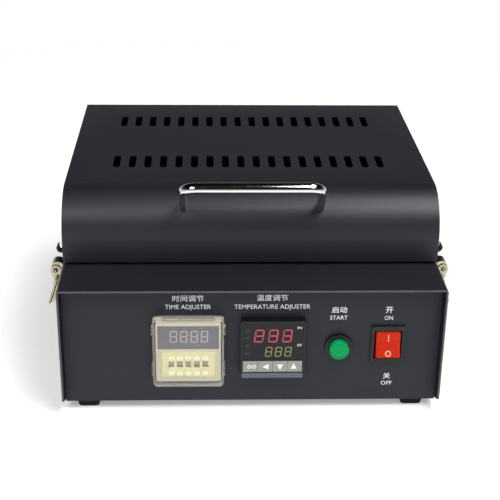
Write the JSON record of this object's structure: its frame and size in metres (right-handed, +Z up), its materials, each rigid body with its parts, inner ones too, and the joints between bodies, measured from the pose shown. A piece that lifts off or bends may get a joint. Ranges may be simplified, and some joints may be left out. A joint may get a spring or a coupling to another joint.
{
  "type": "bench reflow oven",
  "caption": "Bench reflow oven: black sheet-metal base with a timer, temperature controller, start button and mains switch, a hinged vented lid with a handle, and a draw latch on each side",
  "frame": {"origin": "on the desk, at the middle of the overall width and depth", "axes": "+X to the right seen from the front, +Y to the back, +Z up"},
  "size_m": [0.3104, 0.2854, 0.1765],
  "materials": {
    "black_sheet": "satin black powder coat",
    "panel_sheet": "satin dark grey powder coat",
    "black_rubber": "matte",
    "zinc_screws": "zinc plated",
    "stainless_sheet": "plain stainless sheet",
    "insulation": "rigid ceramic fibre board",
    "plate_alloy": "machined",
    "ceramic": "unglazed ceramic spacer",
    "heater_steel": "steel sheath",
    "relay_body": "cream moulding",
    "terminal_plastic": "moulded",
    "black_plastic": "fine texture",
    "loom_sleeve": "woven sleeve",
    "hinge_steel": "zinc plated",
    "latch_steel": "bright nickel plate",
    "keeper_black": "black",
    "timer_grey": "grey-beige moulding",
    "timer_display": "tinted window",
    "cream_plastic": "cream moulding",
    "key_cream": "cream moulding",
    "wheel_white": "printed digits",
    "clear_plastic": "clear polycarbonate",
    "controller_display": "dark window",
    "controller_keys": "grey membrane",
    "green_plastic": "polished",
    "spring_steel": "drawn wire",
    "red_plastic": "translucent moulding",
    "handle_chrome": "polished"
  },
  "bodies": {
    "base": {"base_cover": "black_sheet", "chassis_pan": "black_sheet", "front_panel": "panel_sheet", "rear_panel": "black_sheet", "rubber_feet": "black_rubber", "base_fasteners": "zinc_screws", "chamber_pan": "stainless_sheet", "insulation_board": "insulation", "heater_plate": "plate_alloy", "plate_standoffs": "ceramic", "cartridge_heaters": "heater_steel", "thermocouple": "heater_steel", "solid_state_relay": "relay_body", "terminal_block": "terminal_plastic", "mains_inlet": "black_plastic", "wiring_loom": "loom_sleeve", "hinge_base_leaves": "hinge_steel", "hinge_pins": "hinge_steel", "latch_brackets": "latch_steel", "lid_bumpers": "black_rubber", "controller_case": "black_plastic", "controller_bezel": "black_plastic", "controller_window": "controller_display", "timer_case": "timer_grey", "timer_bezel": "timer_grey", "timer_window": "timer_display", "timer_switch_block": "cream_plastic", "timer_digit_wheels": "wheel_white", "start_button_barrel": "black_plastic", "start_button_nut": "black_plastic", "start_button_spring": "spring_steel", "switch_frame": "black_plastic"},
    "lid": {"lid_shell": "black_sheet", "lid_liner": "stainless_sheet", "lid_insulation_board": "insulation", "lid_handle": "handle_chrome", "lid_screws": "zinc_screws", "latch_keepers": "keeper_black", "hinge_lid_leaves": "hinge_steel"},
    "latch_lever_left": {"latch_lever_left": "latch_steel"},
    "latch_lever_right": {"latch_lever_right": "latch_steel"},
    "latch_bail_left": {"latch_bail_left": "latch_steel"},
    "latch_bail_right": {"latch_bail_right": "latch_steel"},
    "timer_cover": {"timer_cover": "clear_plastic"},
    "start_button_cap": {"start_button_cap": "green_plastic"},
    "power_rocker": {"power_rocker": "red_plastic"},
    "controller_key_set": {"controller_key_set": "controller_keys"},
    "controller_key_left": {"controller_key_left": "controller_keys"},
    "controller_key_down": {"controller_key_down": "controller_keys"},
    "controller_key_up": {"controller_key_up": "controller_keys"},
    "timer_plus_key_1": {"timer_plus_key_1": "key_cream"},
    "timer_plus_key_2": {"timer_plus_key_2": "key_cream"},
    "timer_plus_key_3": {"timer_plus_key_3": "key_cream"},
    "timer_plus_key_4": {"timer_plus_key_4": "key_cream"},
    "timer_plus_key_5": {"timer_plus_key_5": "key_cream"},
    "timer_minus_key_1": {"timer_minus_key_1": "key_cream"},
    "timer_minus_key_2": {"timer_minus_key_2": "key_cream"},
    "timer_minus_key_3": {"timer_minus_key_3": "key_cream"},
    "timer_minus_key_4": {"timer_minus_key_4": "key_cream"},
    "timer_minus_key_5": {"timer_minus_key_5": "key_cream"}
  },
  "joints": [
    {"name": "lid_hinge", "type": "hinge", "parent": "base", "child": "lid", "pos_m": [0, 0.1375, 0.106], "axis": [-1, 0, 0], "range_deg": [0, 100]},
    {"name": "latch_lever_left", "type": "hinge", "parent": "base", "child": "latch_lever_left", "pos_m": [-0.1483, -0.0817, 0.096], "axis": [0, 1, 0], "range_deg": [0, 135]},
    {"name": "latch_bail_left", "type": "hinge", "parent": "latch_lever_left", "child": "latch_bail_left", "pos_m": [-0.1473, -0.0817, 0.09], "axis": [0, -1, 0], "range_deg": [-170.7, 0]},
    {"name": "latch_lever_right", "type": "hinge", "parent": "base", "child": "latch_lever_right", "pos_m": [0.1483, -0.0817, 0.096], "axis": [0, -1, 0], "range_deg": [0, 135]},
    {"name": "latch_bail_right", "type": "hinge", "parent": "latch_lever_right", "child": "latch_bail_right", "pos_m": [0.1473, -0.0817, 0.09], "axis": [0, 1, 0], "range_deg": [-170.7, 0]},
    {"name": "timer_cover_hinge", "type": "hinge", "parent": "base", "child": "timer_cover", "pos_m": [-0.0473, -0.1357, 0.0784], "axis": [-1, 0, 0], "range_deg": [0, 90]},
    {"name": "start_button_press", "type": "slide", "parent": "base", "child": "start_button_cap", "axis": [0, 1, 0], "range_m": [0, 0.003], "stiffness_N_per_m": 600, "springref_m": -0.003, "deforming": ["start_button_spring"]},
    {"name": "power_switch", "type": "hinge", "parent": "base", "child": "power_rocker", "pos_m": [0.1015, -0.1321, 0.0556], "axis": [1, 0, 0], "range_deg": [0, 22]},
    {"name": "controller_key_set_press", "type": "slide", "parent": "base", "child": "controller_key_set", "axis": [0, 1, 0], "range_m": [0, 0.0006], "stiffness_N_per_m": 800, "springref_m": -0.001},
    {"name": "controller_key_left_press", "type": "slide", "parent": "base", "child": "controller_key_left", "axis": [0, 1, 0], "range_m": [0, 0.0006], "stiffness_N_per_m": 800, "springref_m": -0.001},
    {"name": "controller_key_down_press", "type": "slide", "parent": "base", "child": "controller_key_down", "axis": [0, 1, 0], "range_m": [0, 0.0006], "stiffness_N_per_m": 800, "springref_m": -0.001},
    {"name": "controller_key_up_press", "type": "slide", "parent": "base", "child": "controller_key_up", "axis": [0, 1, 0], "range_m": [0, 0.0006], "stiffness_N_per_m": 800, "springref_m": -0.001},
    {"name": "timer_plus_key_1_press", "type": "slide", "parent": "base", "child": "timer_plus_key_1", "axis": [0, 1, 0], "range_m": [0, 0.001], "stiffness_N_per_m": 600, "springref_m": -0.001},
    {"name": "timer_plus_key_2_press", "type": "slide", "parent": "base", "child": "timer_plus_key_2", "axis": [0, 1, 0], "range_m": [0, 0.001], "stiffness_N_per_m": 600, "springref_m": -0.001},
    {"name": "timer_plus_key_3_press", "type": "slide", "parent": "base", "child": "timer_plus_key_3", "axis": [0, 1, 0], "range_m": [0, 0.001], "stiffness_N_per_m": 600, "springref_m": -0.001},
    {"name": "timer_plus_key_4_press", "type": "slide", "parent": "base", "child": "timer_plus_key_4", "axis": [0, 1, 0], "range_m": [0, 0.001], "stiffness_N_per_m": 600, "springref_m": -0.001},
    {"name": "timer_plus_key_5_press", "type": "slide", "parent": "base", "child": "timer_plus_key_5", "axis": [0, 1, 0], "range_m": [0, 0.001], "stiffness_N_per_m": 600, "springref_m": -0.001},
    {"name": "timer_minus_key_1_press", "type": "slide", "parent": "base", "child": "timer_minus_key_1", "axis": [0, 1, 0], "range_m": [0, 0.001], "stiffness_N_per_m": 600, "springref_m": -0.001},
    {"name": "timer_minus_key_2_press", "type": "slide", "parent": "base", "child": "timer_minus_key_2", "axis": [0, 1, 0], "range_m": [0, 0.001], "stiffness_N_per_m": 600, "springref_m": -0.001},
    {"name": "timer_minus_key_3_press", "type": "slide", "parent": "base", "child": "timer_minus_key_3", "axis": [0, 1, 0], "range_m": [0, 0.001], "stiffness_N_per_m": 600, "springref_m": -0.001},
    {"name": "timer_minus_key_4_press", "type": "slide", "parent": "base", "child": "timer_minus_key_4", "axis": [0, 1, 0], "range_m": [0, 0.001], "stiffness_N_per_m": 600, "springref_m": -0.001},
    {"name": "timer_minus_key_5_press", "type": "slide", "parent": "base", "child": "timer_minus_key_5", "axis": [0, 1, 0], "range_m": [0, 0.001], "stiffness_N_per_m": 600, "springref_m": -0.001}
  ]
}
